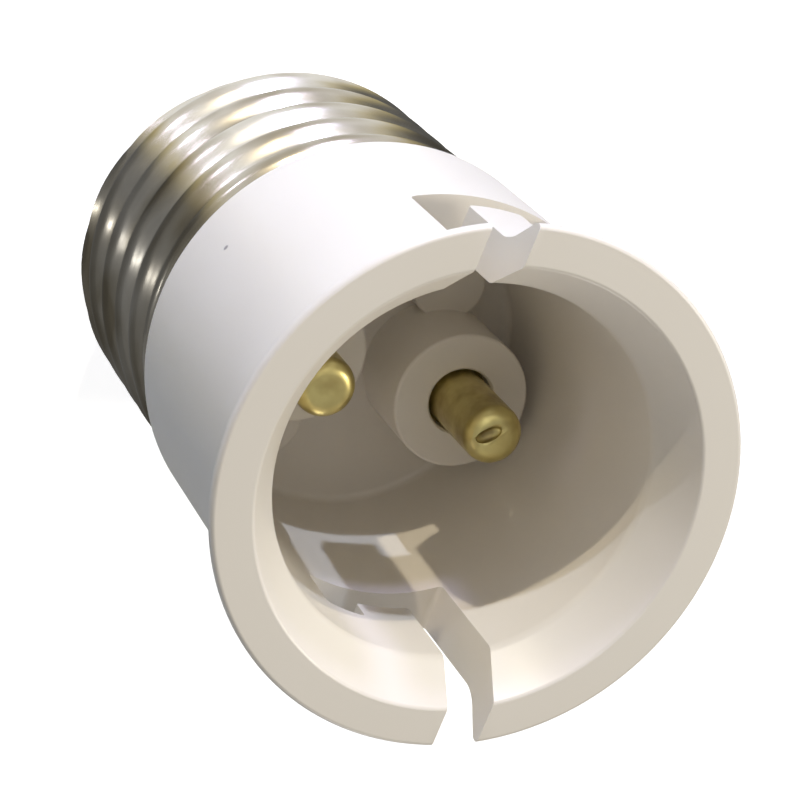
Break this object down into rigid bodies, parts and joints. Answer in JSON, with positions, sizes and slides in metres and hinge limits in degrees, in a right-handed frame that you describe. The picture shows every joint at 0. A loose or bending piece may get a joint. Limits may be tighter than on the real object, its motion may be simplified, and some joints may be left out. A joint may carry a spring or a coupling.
{
  "type": "lamp socket adapter",
  "caption": "White moulded adapter with a flared bayonet lamp socket on a threaded metal screw cap; sprung brass plungers stand in the socket and pin slots hook through its wall.",
  "frame": {"origin": "tip of the centre contact, on the socket's axis", "axes": "+Z along the socket's axis and out of its mouth, X through the two plungers, Y through the pin slots"},
  "size_m": [0.031, 0.031, 0.047],
  "materials": {
    "body_plastic": "moulded white, soft gloss",
    "insulator_plastic": "moulded white, satin",
    "nickel_shell": "nickel plated, rolled",
    "contact_brass": "turned, slightly dull",
    "spring_steel": "drawn wire"
  },
  "bodies": {
    "housing": {"socket_body": "body_plastic", "screw_shell": "nickel_shell", "end_insulator": "insulator_plastic", "centre_contact": "contact_brass", "centre_strip": "contact_brass", "shell_strip": "contact_brass", "spring_a": "spring_steel", "spring_b": "spring_steel"},
    "plunger_a": {"plunger_a": "contact_brass"},
    "plunger_b": {"plunger_b": "contact_brass"}
  },
  "joints": [
    {"name": "plunger_a_press", "type": "slide", "parent": "housing", "child": "plunger_a", "axis": [0, 0, 1], "range_m": [-0.0043, 0], "stiffness_N_per_m": 500, "springref_m": 0.003, "deforming": ["spring_a"]},
    {"name": "plunger_b_press", "type": "slide", "parent": "housing", "child": "plunger_b", "axis": [0, 0, 1], "range_m": [-0.0043, 0], "stiffness_N_per_m": 500, "springref_m": 0.003, "deforming": ["spring_b"]}
  ]
}
